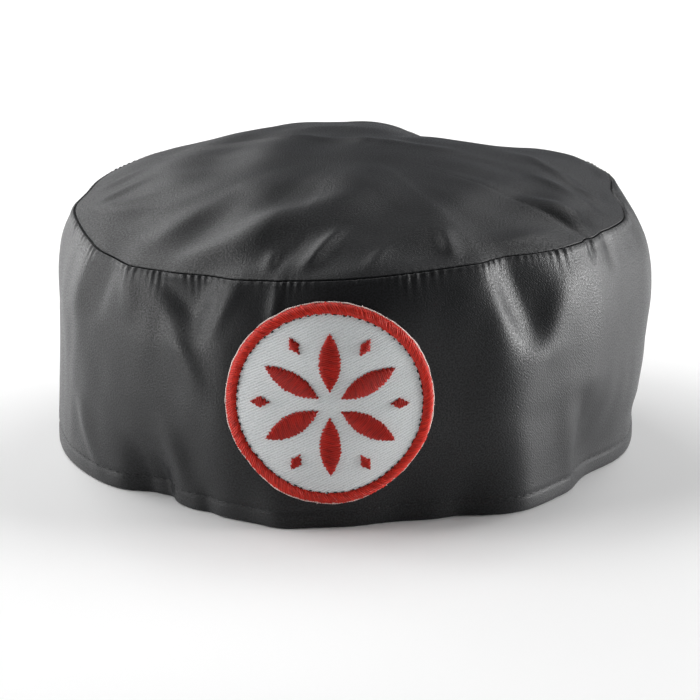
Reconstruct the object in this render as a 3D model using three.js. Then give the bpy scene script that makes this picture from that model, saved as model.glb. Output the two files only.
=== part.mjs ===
// A soft round cap of black satin: a band with a turned-up hem, a low domed crown sewn to its top edge
// and a round embroidered badge on its front.
// Millimetres, +Z up. The cap stands on its hem, the badge faces -Y, and the origin is the middle of the
// head opening on the hem's plane. A bearing is in degrees from the front, and grows towards +X.

import * as THREE from 'three';

// Cloth, hem and seam
const CLOTH = 1.5;
const HEM = { height: 6, turnUp: 0.9 };
const SEAM_GAP = 0.36;
const COLUMNS = 120;

// The band is widest at this share of its height, and turns in late, just under the seam
const BELLY = 0.5;
const SHOULDER = 3.2;
const BAND_ROWS = [0, 0.07, 0.16, 0.27, 0.39, 0.52, 0.64, 0.75, 0.84, 0.92, 1];
const HEM_TOP_ROW = 0.095;

// The crown rises this far above the seam's mean height
const DOME = 17;
const CROWN_ROWS = [1, 0.93, 0.84, 0.72, 0.57, 0.39, 0.2];

// The badge: its middle is this high on the band, and its ground and border are discs round that point
const BADGE = { height: 41.15, shift: 0.7, squeeze: 0.975, sectors: 60, drapeRadius: 110, lean: 0.0015 };
const GROUND = { radius: 28.6, underside: 0.35, face: 1.15, rings: [28.6, 22, 15, 8] };
const BORDER = { radius: 30.6, halfWidth: 1.7, underside: 0.35, crest: 2.1, side: 1.0 };
const STITCHES = { underside: 1.5, edge: 1.75, crest: 2.05, shrink: 0.55 };
const PETALS = { count: 6, length: 19, width: 6.6, distance: 13.5, points: 16, firstAngle: 90 };
const LOZENGES = { count: 6, length: 6, width: 3.6, distance: 21.5, firstAngle: 60 };

const SATIN = new THREE.MeshStandardMaterial({ color: '#1c1d20', roughness: 0.45, metalness: 0 });
const TWILL = new THREE.MeshStandardMaterial({ color: '#e4e4e2', roughness: 0.85, metalness: 0 });
const RED_THREAD = new THREE.MeshStandardMaterial({ color: '#a62220', roughness: 0.5, metalness: 0 });

function table(columns, rows) {
  return rows.map((row) => Object.fromEntries(columns.map((name, i) => [name, row[i]])));
}

// Radii at the hem, at the widest line and at the seam, and the seam's height
const OUTLINE = table(['bearing', 'hem', 'belly', 'seam', 'height'], [
  [0, 88.0, 92.0, 84.5, 78.0],
  [30, 85.0, 89.5, 83.0, 80.0],
  [60, 85.5, 91.0, 84.5, 79.0],
  [90, 88.4, 92.5, 85.3, 78.0],
  [120, 91.0, 94.0, 86.5, 80.3],
  [150, 91.0, 93.0, 86.5, 77.5],
  [180, 91.0, 92.5, 88.0, 80.0],
  [210, 91.0, 92.5, 86.0, 79.0],
  [240, 92.0, 92.5, 85.5, 79.0],
  [270, 94.6, 93.5, 87.0, 77.5],
  [300, 92.0, 93.5, 88.0, 75.5],
  [330, 86.5, 91.0, 86.5, 75.5],
]);

// Where the seam itself rises or dips
const SEAM_WAVES = table(['bearing', 'width', 'rise'], [
  [158, 11, -7.6],
  [132, 9, -0.2],
  [-50, 15, -1.8],
]);

// Folds of the band: each runs from a foot bearing at a low share of the height to a head bearing at a
// high one, fades at both ends, and stands out (+) or in (-) by its depth. Left and right are the widths
// of its two flanks.
const BAND_FOLDS = table(['foot', 'head', 'low', 'high', 'left', 'right', 'depth'], [
  // the front that the badge holds flat, with its two corners
  [37, 35, -0.30, 0.98, 9.0, 9.0, 3.0],
  [-18, -21, -0.30, 0.98, 9.0, 10.0, 2.6],
  [2, 2, 0.62, 1.14, 22.0, 22.0, 1.8],
  // folds that hang from the seam
  [-84, -84, 0.60, 1.30, 9.0, 9.0, 1.5],
  [-64, -58, 0.64, 1.06, 3.4, 3.0, 1.1],
  [-55, -52, 0.70, 1.06, 3.0, 3.0, -1.0],
  [-44, -47, 0.76, 1.05, 2.6, 2.4, 0.9],
  [-24, -37, 0.46, 0.97, 3.0, 3.0, 1.5],
  [-26, -41, 0.72, 1.06, 3.4, 3.2, -1.2],
  [-28, -26, 0.74, 1.08, 6.0, 4.5, -2.0],
  [-25, -18, 0.72, 1.04, 2.6, 2.4, 1.1],
  [36, 30.5, 0.58, 1.06, 3.4, 2.6, 1.3],
  [44, 36.5, 0.66, 1.12, 2.2, 4.6, -2.6],
  [46, 42, 0.66, 1.12, 3.4, 7.5, -2.4],
  [41, 56, 0.50, 1.00, 3.5, 5.0, 1.8],
  [82, 82, 0.90, 1.25, 6.0, 6.0, 1.8],
  [102, 102, 0.76, 1.30, 9.0, 7.0, -3.4],
  [-91, -91, 0.85, 1.30, 6.0, 6.0, -1.1],
  [95, 97, 0.45, 1.00, 22.0, 22.0, 1.9],
  [100, 100, 0.76, 1.03, 12.0, 10.0, 1.6],
  [122, 118, 0.50, 1.08, 4.0, 4.0, -2.4],
  [146, 152, 0.10, 0.95, 5.0, 5.0, 1.6],
  [171, 165, 0.55, 1.08, 4.0, 4.0, -2.0],
  [-148, -143, 0.45, 1.08, 4.0, 4.0, -2.2],
  [-122, -128, 0.00, 0.80, 6.0, 6.0, 1.6],
  [-100, -96, 0.55, 1.06, 3.6, 3.6, -1.6],
  // waves of the hem and creases that rise from it
  [61, 55, 0.00, 0.55, 2.8, 2.8, -2.4],
  [57, 51, -0.10, 0.50, 3.0, 3.0, 1.2],
  [68, 66, -0.40, 0.35, 8.0, 10.0, -3.6],
  [92, 96, 0.06, 0.22, 16.0, 16.0, -0.7],
  [-43, -43, -0.30, 0.30, 4.6, 8.0, -5.8],
  [-9, -9, -0.35, 0.30, 5.0, 5.0, 3.0],
  [14, 14, -0.40, 0.40, 9.0, 9.0, -3.4],
  [28, 28, -0.40, 0.30, 5.0, 5.0, -2.4],
  [42, 42, -0.40, 0.40, 7.0, 12.0, 3.0],
  [-38, -39, -0.15, 0.24, 2.4, 2.4, -1.8],
  [-26, -26, -0.15, 0.16, 2.4, 2.4, -1.2],
  [-55, -62, 0.00, 0.40, 2.8, 2.8, 1.0],
  [-31, -35, 0.02, 0.45, 2.8, 2.8, 1.1],
  [-168, -164, -0.20, 0.55, 4.0, 4.0, -1.8],
  [-108, -104, -0.20, 0.40, 4.0, 4.0, -1.6],
]);

// Creases of the crown, seen from above: each runs straight between two points and stands up (+) or
// sinks (-) by its height
const CROWN_CREASES = table(['x0', 'y0', 'x1', 'y1', 'width', 'height'], [
  [-60, -78, -4, -45, 4.0, 1.4],
  [-66, -70, -14, -38, 5.0, -0.9],
  [-12, -86, 3, -60, 3.0, 1.2],
  [-21, -86, -7, -62, 3.0, -0.6],
  [-20, -83, -19, -70, 2.6, 0.8],
  [30, -56, 37, -72, 3.4, 0.7],
  [46, -70, 72, -38, 6.0, 1.0],
  [44, 2, 72, 5, 2.8, 0.8],
  [66, 7, 85, -15, 2.8, 1.0],
  [62, -24, 86, -18, 3.2, 1.0],
  [-82, 30, 62, 3, 3.5, 0.7],
  [-87, -20, -64, -4, 2.6, 0.8],
  [-87, -20, -60, -24, 2.8, 0.6],
  [-87, -20, -48, -36, 3.2, 0.5],
  [50, 86, 20, 36, 14.0, -8.6],
  [-52, 50, -8, 64, 12.0, 1.2],
]);

const CREASE_EDGE = 0.12;   // creases of the crown fade over this share of its radius at the seam
const FADE_POWER = 1.5;     // how softly a fold fades at its ends

const clamp = (x) => Math.min(1, Math.max(0, x));
const smooth = (x) => clamp(x) ** 2 * (3 - 2 * clamp(x));
const radians = (degrees) => (degrees * Math.PI) / 180;
const hump = (offset, width) => Math.exp(-((offset / width) ** 2));
const fade = (along) => clamp(1 - (2 * along - 1) ** 2) ** FADE_POWER;

// Shortest turn from one bearing to another
function turn(from, to) {
  return ((((to - from + 180) % 360) + 360) % 360) - 180;
}

// A column of the outline at any bearing, on a smooth closed curve through the table's values
function outline(bearing, column) {
  const count = OUTLINE.length;
  const place = ((((bearing % 360) + 360) % 360) * count) / 360;
  const row = Math.floor(place);
  const t = place - row;
  const [a, b, c, d] = [-1, 0, 1, 2].map((step) => OUTLINE[(row + step + count) % count][column]);
  return 0.5 * (2 * b + (c - a) * t + (2 * a - 5 * b + 4 * c - d) * t ** 2 + (3 * b - a - 3 * c + d) * t ** 3);
}

function seamHeight(bearing) {
  const waves = SEAM_WAVES.map((wave) => wave.rise * hump(turn(wave.bearing, bearing), wave.width));
  return waves.reduce((sum, rise) => sum + rise, outline(bearing, 'height'));
}

function bandFolds(bearing, v) {
  let out = 0;
  for (const fold of BAND_FOLDS) {
    const along = (v - fold.low) / (fold.high - fold.low);
    const offset = turn(fold.foot + (fold.head - fold.foot) * clamp(along), bearing);
    out += fold.depth * hump(offset, offset < 0 ? fold.left : fold.right) * fade(along);
  }
  return out;
}

// A point of the band's outside: v is 0 at the hem and 1 at the seam
function bandPoint(bearing, v) {
  const belly = outline(bearing, 'belly');
  const hem = outline(bearing, 'hem');
  const seam = outline(bearing, 'seam');
  const below = hem + (belly - hem) * smooth(v / BELLY);
  const above = belly + (seam - belly) * clamp((v - BELLY) / (1 - BELLY)) ** SHOULDER;
  const radius = (v < BELLY ? below : above) + bandFolds(bearing, v);
  const angle = radians(bearing);
  return new THREE.Vector3(radius * Math.sin(angle), -radius * Math.cos(angle), seamHeight(bearing) * v);
}

const MEAN_HEIGHT = OUTLINE.reduce((sum, row) => sum + row.height, 0) / OUTLINE.length;

function crownCreases(x, y) {
  let up = 0;
  for (const crease of CROWN_CREASES) {
    const length = Math.hypot(crease.x1 - crease.x0, crease.y1 - crease.y0);
    const ux = (crease.x1 - crease.x0) / length;
    const uy = (crease.y1 - crease.y0) / length;
    const along = ((x - crease.x0) * ux + (y - crease.y0) * uy) / length;
    const across = (y - crease.y0) * ux - (x - crease.x0) * uy;
    up += crease.height * hump(across, crease.width) * fade(along);
  }
  return up;
}

// A point of the crown's outside: q is 1 at the seam and 0 in the middle
function crownPoint(bearing, q) {
  const edge = bandPoint(bearing, 1);
  const x = edge.x * q;
  const y = edge.y * q;
  const dome = MEAN_HEIGHT + (edge.z - MEAN_HEIGHT) * q ** 2 + DOME * (1 - q ** 2);
  return new THREE.Vector3(x, y, dome + crownCreases(x, y) * smooth((1 - q) / CREASE_EDGE));
}

// The unit normal of a surface, from points a small step to each side
function normal(surface, u, v, stepU, stepV) {
  const alongU = surface(u + stepU, v).sub(surface(u - stepU, v));
  const alongV = surface(u, v + stepV).sub(surface(u, v - stepV));
  return alongU.cross(alongV).normalize();
}

const STEP = { bearing: 0.4, share: 0.004, length: 0.3 };
const bandNormal = (bearing, v) => normal(bandPoint, bearing, v, STEP.bearing, STEP.share);
const crownNormal = (bearing, q) => normal(crownPoint, bearing, q, STEP.bearing, -STEP.share);

const moved = (point, direction, distance) => point.clone().addScaledVector(direction, distance);

// A closed solid from rings of points, each joined to the next and the last to the first. A ring of one
// point closes an end.
function closedSolid(rings) {
  const positions = [];
  const index = [];
  const starts = rings.map((ring) => {
    const start = positions.length / 3;
    ring.forEach((point) => positions.push(point.x, point.y, point.z));
    return start;
  });
  const count = Math.max(...rings.map((ring) => ring.length));
  const at = (ring, column) => starts[ring] + (rings[ring].length === 1 ? 0 : column % count);
  rings.forEach((ring, i) => {
    const next = (i + 1) % rings.length;
    for (let column = 0; column < count; column += 1) {
      if (ring.length > 1) index.push(at(i, column), at(i, column + 1), at(next, column + 1));
      if (rings[next].length > 1) index.push(at(i, column), at(next, column + 1), at(next, column));
    }
  });
  const geometry = new THREE.BufferGeometry();
  geometry.setAttribute('position', new THREE.Float32BufferAttribute(positions, 3));
  geometry.setIndex(index);
  geometry.computeVertexNormals();
  return geometry;
}

const bearings = Array.from({ length: COLUMNS }, (_, i) => (360 * i) / COLUMNS);
const ringOf = (point) => bearings.map(point);

// The seam is mitred: both cloths end on the plane that halves the corner between band and crown, half
// the gap away from it
function seamPoint(bearing, side, inside) {
  const corner = bandPoint(bearing, 1);
  const up = corner.clone().sub(bandPoint(bearing, 1 - STEP.share)).normalize();
  const inwards = crownPoint(bearing, 1 - STEP.share).sub(corner).normalize();
  const across = up.clone().add(inwards).normalize();
  const halfCorner = Math.acos(clamp(across.dot(up)));
  const round = bandPoint(bearing + STEP.bearing, 1).sub(bandPoint(bearing - STEP.bearing, 1));
  const into = across.clone().cross(round).normalize();
  const depth = inside ? CLOTH / Math.cos(halfCorner) : 0;
  return moved(moved(corner, across, (side * SEAM_GAP) / 2), into, depth);
}

function hemInside(bearing) {
  const outside = bandPoint(bearing, 0);
  const scale = 1 - (CLOTH + HEM.turnUp) / Math.hypot(outside.x, outside.y);
  return new THREE.Vector3(outside.x * scale, outside.y * scale, 0);
}

function bandGeometry() {
  const inside = (v, thickness) => ringOf((b) => moved(bandPoint(b, v), bandNormal(b, v), -thickness));
  const outer = BAND_ROWS.slice(0, -1).map((v) => ringOf((b) => bandPoint(b, v)));
  const inner = BAND_ROWS.slice(2, -1).reverse().map((v) => inside(v, CLOTH));
  return closedSolid([
    ...outer,
    ringOf((b) => seamPoint(b, -1, false)),
    ringOf((b) => seamPoint(b, -1, true)),
    ...inner,
    inside(HEM_TOP_ROW, CLOTH),
    inside(BAND_ROWS[1], CLOTH + HEM.turnUp),
    ringOf(hemInside),
  ]);
}

function crownGeometry() {
  const rows = CROWN_ROWS.slice(1);
  const top = rows.map((q) => ringOf((b) => crownPoint(b, q)));
  const under = rows.map((q) => ringOf((b) => moved(crownPoint(b, q), crownNormal(b, q), -CLOTH)));
  const middle = crownPoint(0, 0);
  return closedSolid([
    ringOf((b) => seamPoint(b, 1, false)),
    ...top,
    [middle],
    [moved(middle, new THREE.Vector3(0, 0, 1), -CLOTH)],
    ...under.reverse(),
    ringOf((b) => seamPoint(b, 1, true)),
  ]);
}

// A point over the badge's place: across to the right and up from its middle, and lifted off the band.
// The badge bends round the band on an upright cylinder a little flatter than the band's front, which
// its sewing draws in a little. Its upper half leans back with the band, so its points lie a little
// lower than on a flat disc.
function badgePoint(across, up, lift) {
  const front = outline(0, 'belly');
  const bend = (across * BADGE.squeeze + BADGE.shift) / BADGE.drapeRadius;
  const x = BADGE.drapeRadius * Math.sin(bend);
  const y = BADGE.drapeRadius - front - BADGE.drapeRadius * Math.cos(bend);
  const bearing = (Math.atan2(x, -y) * 180) / Math.PI;
  const v = (BADGE.height + up - BADGE.lean * Math.max(up, 0) ** 2) / seamHeight(bearing);
  return moved(bandPoint(bearing, v), bandNormal(bearing, v), lift);
}

function badgeRing(radius, lift) {
  return Array.from({ length: BADGE.sectors }, (_, i) => {
    const angle = (2 * Math.PI * i) / BADGE.sectors;
    return badgePoint(radius * Math.cos(angle), radius * Math.sin(angle), lift);
  });
}

function groundGeometry() {
  const face = GROUND.rings.map((radius) => badgeRing(radius, GROUND.face));
  const back = GROUND.rings.map((radius) => badgeRing(radius, GROUND.underside));
  return closedSolid([
    ...face,
    [badgePoint(0, 0, GROUND.face)],
    [badgePoint(0, 0, GROUND.underside)],
    ...back.reverse(),
  ]);
}

// The border's section is flat underneath and a half round above its sides
function borderGeometry() {
  const { radius, halfWidth, underside, crest, side } = BORDER;
  const arc = [0, 45, 90, 135, 180].map((degrees) => badgeRing(
    radius + halfWidth * Math.cos(radians(degrees)),
    side + (crest - side) * Math.sin(radians(degrees)),
  ));
  const low = [-1, 1].map((edge) => badgeRing(radius + edge * halfWidth, underside));
  return closedSolid([...arc, ...low]);
}

// A raised motif of satin stitch on the badge: an outline round its own middle, turned to an angle and
// set at a distance from the badge's middle
function stitchedGeometry(points, angle, distance) {
  const place = ([x, y], scale, lift) => {
    const along = distance + x * scale;
    const across = y * scale;
    return badgePoint(
      along * Math.cos(angle) - across * Math.sin(angle),
      along * Math.sin(angle) + across * Math.cos(angle),
      lift,
    );
  };
  const ring = (scale, lift) => points.map((point) => place(point, scale, lift));
  return closedSolid([
    ring(1, STITCHES.edge),
    ring(STITCHES.shrink, STITCHES.crest),
    [place([0, 0], 0, STITCHES.crest)],
    [place([0, 0], 0, STITCHES.underside)],
    ring(1, STITCHES.underside),
  ]);
}

// A petal is a lens between two parabolas, and a lozenge has four corners
function petalOutline() {
  return Array.from({ length: PETALS.points }, (_, i) => {
    const angle = (2 * Math.PI * i) / PETALS.points;
    const along = Math.cos(angle);
    const bow = Math.sign(Math.round(Math.sin(angle) * 1e6)) * (1 - along ** 2);
    return [(along * PETALS.length) / 2, (bow * PETALS.width) / 2];
  });
}

const lozengeOutline = () => [
  [LOZENGES.length / 2, 0],
  [0, LOZENGES.width / 2],
  [-LOZENGES.length / 2, 0],
  [0, -LOZENGES.width / 2],
];

const cap = new THREE.Group();

function add(name, geometry, material) {
  const mesh = new THREE.Mesh(geometry, material);
  mesh.name = name;
  cap.add(mesh);
}

function addMotifs(name, motif, points) {
  for (let i = 0; i < motif.count; i += 1) {
    const angle = radians(motif.firstAngle + (360 * i) / motif.count);
    add(`${name}_${i + 1}`, stitchedGeometry(points, angle, motif.distance), RED_THREAD);
  }
}

add('side_band', bandGeometry(), SATIN);
add('crown_panel', crownGeometry(), SATIN);
add('badge_ground', groundGeometry(), TWILL);
add('badge_border', borderGeometry(), RED_THREAD);
addMotifs('rosette_petal', PETALS, petalOutline());
addMotifs('rosette_lozenge', LOZENGES, lozengeOutline());

export default cap;
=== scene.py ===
"""A soft round cap of black satin: a band with a stitched hem, a low domed crown sewn to its top edge
and a round embroidered badge on its front.

Lengths are in millimetres until a mesh is made, and in metres in the table of lights. A bearing is in
degrees from the front, where the badge is (-Y), and grows towards +X. The cap stands on its hem at z = 0.
"""

import math

import bpy
import numpy as np
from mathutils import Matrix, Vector


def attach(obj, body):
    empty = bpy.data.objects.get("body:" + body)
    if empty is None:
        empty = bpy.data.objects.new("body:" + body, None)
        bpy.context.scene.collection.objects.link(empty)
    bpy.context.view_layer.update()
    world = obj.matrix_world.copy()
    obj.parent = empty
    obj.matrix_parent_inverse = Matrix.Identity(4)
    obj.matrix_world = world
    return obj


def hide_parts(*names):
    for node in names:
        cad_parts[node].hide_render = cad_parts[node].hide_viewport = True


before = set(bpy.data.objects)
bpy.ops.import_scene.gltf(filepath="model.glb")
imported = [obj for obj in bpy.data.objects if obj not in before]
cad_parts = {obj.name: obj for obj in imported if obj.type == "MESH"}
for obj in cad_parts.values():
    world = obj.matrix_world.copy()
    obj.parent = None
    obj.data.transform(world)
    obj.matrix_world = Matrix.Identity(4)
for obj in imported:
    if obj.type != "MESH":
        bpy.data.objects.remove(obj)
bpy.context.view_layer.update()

MM = 0.001
BODY = "root"
rng = np.random.default_rng(7)

# The photograph's view
IMAGE = 700
VIEW = {"azimuth": 5.0, "elevation": 17.0, "distance": 1500.0, "target": (0.0, 0.0, 45.0)}
FOCAL_PIXELS = 4717.0
TARGET_PIXEL = (354.5, 302.0)
SENSOR = 36.0

# Low, long softboxes at both sides, which leave the front of the black cloth dark, and high ones
SOFTBOXES = [
    # name, azimuth, distance, height, width, height of the box, watts
    ("right_low", 95, 1.2, 0.17, 0.7, 0.3, 19.0),
    ("right_low_back", 120, 1.2, 0.17, 0.7, 0.3, 3.8),
    ("right_high_back", 138, 0.8, 0.94, 0.8, 0.8, 5.8),
    ("left_low", -75, 1.2, 0.17, 0.7, 0.3, 7.4),
    ("left_low_back", -120, 1.2, 0.17, 0.7, 0.3, 4.6),
    ("left_high", -90, 0.8, 0.94, 0.8, 0.8, 7.4),
    ("left_high_back", -138, 0.8, 0.94, 0.8, 0.8, 3.4),
    ("left_back", -145, 1.08, 0.58, 0.6, 0.5, 2.6),
]
WORLD_STRENGTH = 0.045

# Cloth, hem and seam
CLOTH = 1.5
HEM_THICKNESS = 2.4
HEM_STITCH_HEIGHT = 5.6
HEM_STITCH_PITCH = 3.0
SEAM_GAP = 0.3
SEAM_DEPTH = 0.9
SEAM_RADIUS = 85.0
RAW_EDGE_DEPTH = SEAM_DEPTH + CLOTH + 1.2
LAP = 0.9

# The band is widest at this share of its height, and curves in above it by this power
BELLY = 0.5
SHOULDER = 3.2
DOME = 17.0

# Radii at the hem, at the widest line and at the seam, and the seam's height, every 30 degrees
OUTLINE = np.array([
    # bearing, hem, belly, seam, height
    [0, 88.0, 92.0, 84.5, 78.0],
    [30, 85.0, 89.5, 83.0, 80.0],
    [60, 85.5, 91.0, 84.5, 79.0],
    [90, 88.4, 92.5, 85.3, 78.0],
    [120, 91.0, 94.0, 86.5, 80.3],
    [150, 91.0, 93.0, 86.5, 77.5],
    [180, 91.0, 92.5, 88.0, 80.0],
    [210, 91.0, 92.5, 86.0, 79.0],
    [240, 92.0, 92.5, 85.5, 79.0],
    [270, 94.6, 93.5, 87.0, 77.5],
    [300, 92.0, 93.5, 88.0, 75.5],
    [330, 86.5, 91.0, 86.5, 75.5],
])
HEM, BELLY_RADIUS, SEAM, HEIGHT = 1, 2, 3, 4

# Where the seam itself rises or dips
SEAM_WAVES = [
    # bearing, width, rise
    (158, 11, -7.6),
    (132, 9, -0.2),
    (-50, 15, -1.8),
]

# Folds of the band, from a foot bearing at a low share of the height to a head bearing at a high one.
# Left and right are the widths of a fold's two flanks.
BAND_FOLDS = [
    # foot, head, low, high, left, right, depth
    # the front that the badge holds flat, with its two corners
    (36, 34.5, -0.30, 0.98, 9.0, 9.5, 3.4),
    (-18, -21, -0.30, 0.98, 9.0, 10.0, 2.6),
    (2, 2, 0.62, 1.14, 22.0, 22.0, 1.8),
    # folds that hang from the seam
    (-84, -84, 0.60, 1.30, 9.0, 9.0, 1.5),
    (-64, -58, 0.64, 1.06, 3.4, 3.0, 1.1),
    (-55, -52, 0.70, 1.06, 3.0, 3.0, -1.0),
    (-44, -47, 0.76, 1.05, 2.6, 2.4, 0.9),
    (-24, -37, 0.46, 0.97, 3.0, 3.0, 1.5),
    (-26, -41, 0.72, 1.06, 3.4, 3.2, -1.2),
    (-28, -26, 0.74, 1.08, 6.0, 4.5, -2.0),
    (-29, -29, 0.70, 1.03, 12.0, 5.0, -1.8),
    (-25, -18, 0.72, 1.04, 2.6, 2.4, 1.1),
    (-11, -10, 0.80, 1.05, 1.4, 1.4, 0.7),
    (38.5, 30.5, 0.42, 1.06, 4.8, 4.2, 0.8),
    (42, 34.5, 0.62, 1.12, 2.8, 5.4, -2.2),
    (44.5, 39, 0.62, 1.12, 4.0, 9.0, -2.2),
    (41, 56, 0.48, 1.00, 4.5, 6.0, 1.4),
    (62, 64, 0.90, 1.08, 1.2, 1.2, -1.0),
    (69, 71, 0.84, 1.06, 2.4, 2.4, -1.1),
    (82, 82, 0.90, 1.25, 6.0, 6.0, 1.8),
    (102, 102, 0.76, 1.30, 9.0, 7.0, -3.4),
    (-91, -91, 0.85, 1.30, 6.0, 6.0, -1.1),
    (95, 97, 0.45, 1.00, 22.0, 22.0, 1.9),
    (100, 100, 0.76, 1.03, 12.0, 10.0, 1.6),
    (122, 118, 0.50, 1.08, 4.0, 4.0, -2.4),
    (146, 152, 0.10, 0.95, 5.0, 5.0, 1.6),
    (171, 165, 0.55, 1.08, 4.0, 4.0, -2.0),
    (-148, -143, 0.45, 1.08, 4.0, 4.0, -2.2),
    (-122, -128, 0.00, 0.80, 6.0, 6.0, 1.6),
    (-100, -96, 0.55, 1.06, 3.6, 3.6, -1.6),
    # waves of the hem and creases that rise from it
    (61, 56, 0.00, 0.46, 3.0, 6.0, -2.2),
    (57, 51, -0.10, 0.46, 4.0, 3.4, 0.9),
    (68, 66, -0.40, 0.35, 8.0, 10.0, -3.6),
    (92, 96, 0.06, 0.22, 16.0, 16.0, -0.7),
    (-43, -43, -0.30, 0.30, 4.6, 8.0, -5.8),
    (-9, -9, -0.35, 0.30, 5.0, 5.0, 3.0),
    (14, 14, -0.40, 0.40, 9.0, 9.0, -3.4),
    (28, 28, -0.40, 0.30, 5.0, 5.0, -2.4),
    (42, 42, -0.40, 0.40, 7.0, 12.0, 3.0),
    (-38, -39, -0.15, 0.24, 2.4, 2.4, -1.8),
    (-26, -26, -0.15, 0.16, 2.4, 2.4, -1.2),
    (-55, -62, 0.00, 0.40, 2.8, 2.8, 1.0),
    (-31, -35, 0.02, 0.45, 2.8, 2.8, 1.1),
    (-168, -164, -0.20, 0.55, 4.0, 4.0, -1.8),
    (-108, -104, -0.20, 0.40, 4.0, 4.0, -1.6),
]

# Creases of the crown, seen from above, between two points
CROWN_CREASES = [
    # x0, y0, x1, y1, width, height
    (-60, -84, 10, -38, 8.0, 3.6),
    (-68, -60, -32, -33, 7.0, 1.5),
    (-12, -88, 3, -58, 2.6, 1.4),
    (-21, -86, -7, -62, 3.0, -0.6),
    (-20, -85, -18, -70, 2.2, 0.9),
    (9, -86, 17, -66, 2.4, 0.6),
    (31, -54, 38, -76, 3.0, 1.2),
    (46, -70, 72, -38, 6.0, 1.3),
    (50, 26, 86, -14, 3.2, 1.1),
    (54, 3, 86, -25, 3.4, 1.2),
    (68, 2, 88, -6, 2.2, 0.6),
    (52, -22, 82, -34, 4.5, 1.5),
    (58, 14, 76, -42, 8.0, 1.8),
    (-82, 30, 62, 3, 3.5, 0.8),
    (-87, -20, -62, -2, 2.8, 0.9),
    (-87, -20, -58, -22, 2.8, 0.8),
    (-86, -4, -66, 12, 2.6, 0.7),
    (-87, -20, -48, -36, 3.2, 0.7),
    (50, 86, 20, 36, 14.0, -8.6),
    (-52, 50, -8, 64, 12.0, 1.2),
]
CREASE_EDGE = 0.12
FADE_POWER = 1.5

# Swell and crumples of the cloth: their heights, and how far from the seam and from the hem they reach
# their full height
BAND_NOISE = {"swell": 0.22, "crumple": 0.06, "from_seam": 6.0, "from_hem": 8.0}
CROWN_NOISE = {"swell": 0.35, "crumple": 0.1, "from_seam": 7.0}

# Tucks that the seam's stitches pull, and how strong they are at the least, on average and at the most
TUCK_PITCH = 2.7
TUCK_WANDER = 1.6
TUCK_START = 0.5
TUCK_STRENGTH = {"mean": 0.65, "spread": 0.4, "least": 0.32, "most": 1.3}
BAND_TUCK = {"height": 0.65, "reach": 0.6, "reach_by_strength": 1.3}
CROWN_TUCK = {"height": 0.12, "reach": 1.6}

# The seam's groove is deeper in a tuck than on its crest. The crown's edge sinks towards it.
GROOVE_IN_TUCK, GROOVE_LOSS_ON_CREST = 1.1, 0.45
BAND_GROOVE_WIDTH, CROWN_GROOVE_WIDTH, GAP_WIDTH = 0.36, 0.3, 0.5
CROWN_SINK = {"depth": 0.4, "reach": 1.8}

# Narrow ridges and grooves of the band, each across a line. The join at the back is in degrees, and grows
# from nothing at the hem over a small share of the height.
RELIEF = {
    # name: height, distance of the line, half width
    "roll_below_seam": (0.25, 1.3, 1.2),
    "lip_below_seam": (0.4, 0.7, 0.55),
    "hem_stitch_line": (-0.3, HEM_STITCH_HEIGHT, 0.7),
    "hem_fullness": (0.1, 2.6, 2.0),
    "back_join": (-0.7, 0.0, 0.35),
}
BACK_JOIN_START = 0.05

# Rows and columns of points. The band's rows are placed as on a band of one height, closer together
# near the hem and closer still below the seam. Edge crowding moves the crown's rows out towards its edge.
# The band's cloth is laid out flat from the UV radius.
COLUMNS = 1200
ROW_HEIGHT = 79.0
CLOSE_ROWS = 9.0
HEM_ROW_COUNT, MIDDLE_ROW_COUNT = 12, 36
ROWS_BELOW_SEAM = [
    7.6, 6.4, 5.3, 4.4, 3.6, 2.9, 2.3, 1.8, 1.4, 1.1, 0.85, 0.65, 0.48, 0.33, 0.2, 0.1, 0.0,
]
BAND_INSIDE_ROWS = [0.93, 0.8, 0.65, 0.5, 0.35, 0.2, 0.105]
HEM_INSIDE_ROWS = [0.095, 0.085, 0.04]
CROWN_INSIDE_RINGS = [0.95, 0.84, 0.65, 0.4, 0.15]
EDGE_CROWDING = 0.24
NEAR_MIDDLE = 0.02
HEM_EDGE_STEP = 0.1
UV_RADIUS = 91.0

# The badge: where its middle is, how its sewing draws it in and how far its upper half leans back
BADGE_HEIGHT = 41.15
BADGE_SHIFT = 0.7
BADGE_SQUEEZE = 0.975
DRAPE_RADIUS = 110.0
BADGE_LEAN = 0.0015
GROUND_RADIUS = 29.6
GROUND_UNDERSIDE, GROUND_FACE = 0.35, 1.15
BORDER_RADIUS, BORDER_HALF_WIDTH = 30.6, 1.8
BORDER_UNDERSIDE, BORDER_SIDE, BORDER_CREST = 0.35, 1.0, 2.1
PETALS = {"count": 6, "length": 19.0, "width": 6.6, "distance": 13.5, "first": 90.0}
LOZENGES = {"count": 6, "length": 6.0, "width": 3.6, "distance": 21.5, "first": 60.0}


# Meshes

def grid_faces(rows, columns, wrap_rows=False, wrap_columns=False):
    """Corner numbers of a grid's quads, for points counted row by row."""
    r = np.arange(rows if wrap_rows else rows - 1)[:, None]
    c = np.arange(columns if wrap_columns else columns - 1)[None, :]
    r1, c1 = (r + 1) % rows, (c + 1) % columns
    corners = [r * columns + c, r * columns + c1, r1 * columns + c1, r1 * columns + c]
    return np.stack([np.broadcast_to(k, (r.size, c.size)) for k in corners], -1).reshape(-1, 4)


def unwrapped(uv, corners, period):
    """The UV of each quad's corners, where a quad that closes a loop goes on past the period."""
    quads = uv[corners].reshape(-1, 4, 2)
    behind = quads.max(axis=1, keepdims=True) - quads > np.array(period) / 2
    return (quads + behind * np.array(period)).reshape(-1, 2)


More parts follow.
